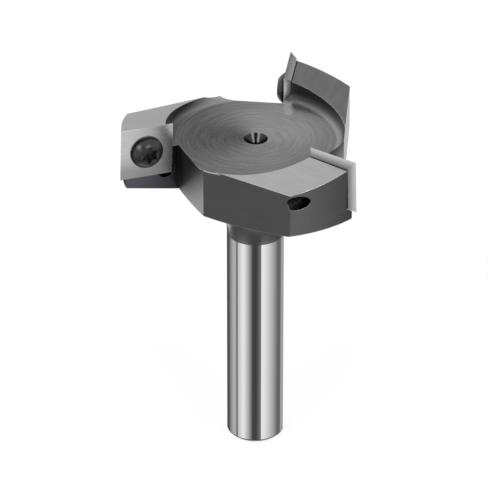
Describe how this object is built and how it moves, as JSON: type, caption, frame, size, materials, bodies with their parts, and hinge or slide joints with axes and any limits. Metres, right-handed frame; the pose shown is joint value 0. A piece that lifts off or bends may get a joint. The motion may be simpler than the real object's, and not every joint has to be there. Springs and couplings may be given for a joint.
{
  "type": "surfacing router bit",
  "caption": "Winged facing cutter on a straight round shank, with square reversible inserts held by lobed-socket button screws, for skimming wood flat on a router.",
  "frame": {"origin": "centre of the shank's free end face, on the axis of rotation", "axes": "+Z along the axis from the shank's free end to the cutting face; -Y is the side that the picture looks from"},
  "size_m": [0.0509, 0.0576, 0.0809],
  "materials": {
    "body": "turned and milled steel, with a ground bright shank",
    "insert": "ground tungsten carbide",
    "screw": "black oxide"
  },
  "bodies": {
    "root": {"cutter_body": "body", "cutting_insert_1": "insert", "cutting_insert_2": "insert", "cutting_insert_3": "insert", "insert_screw_1": "screw", "insert_screw_2": "screw", "insert_screw_3": "screw"}
  },
  "joints": []
}
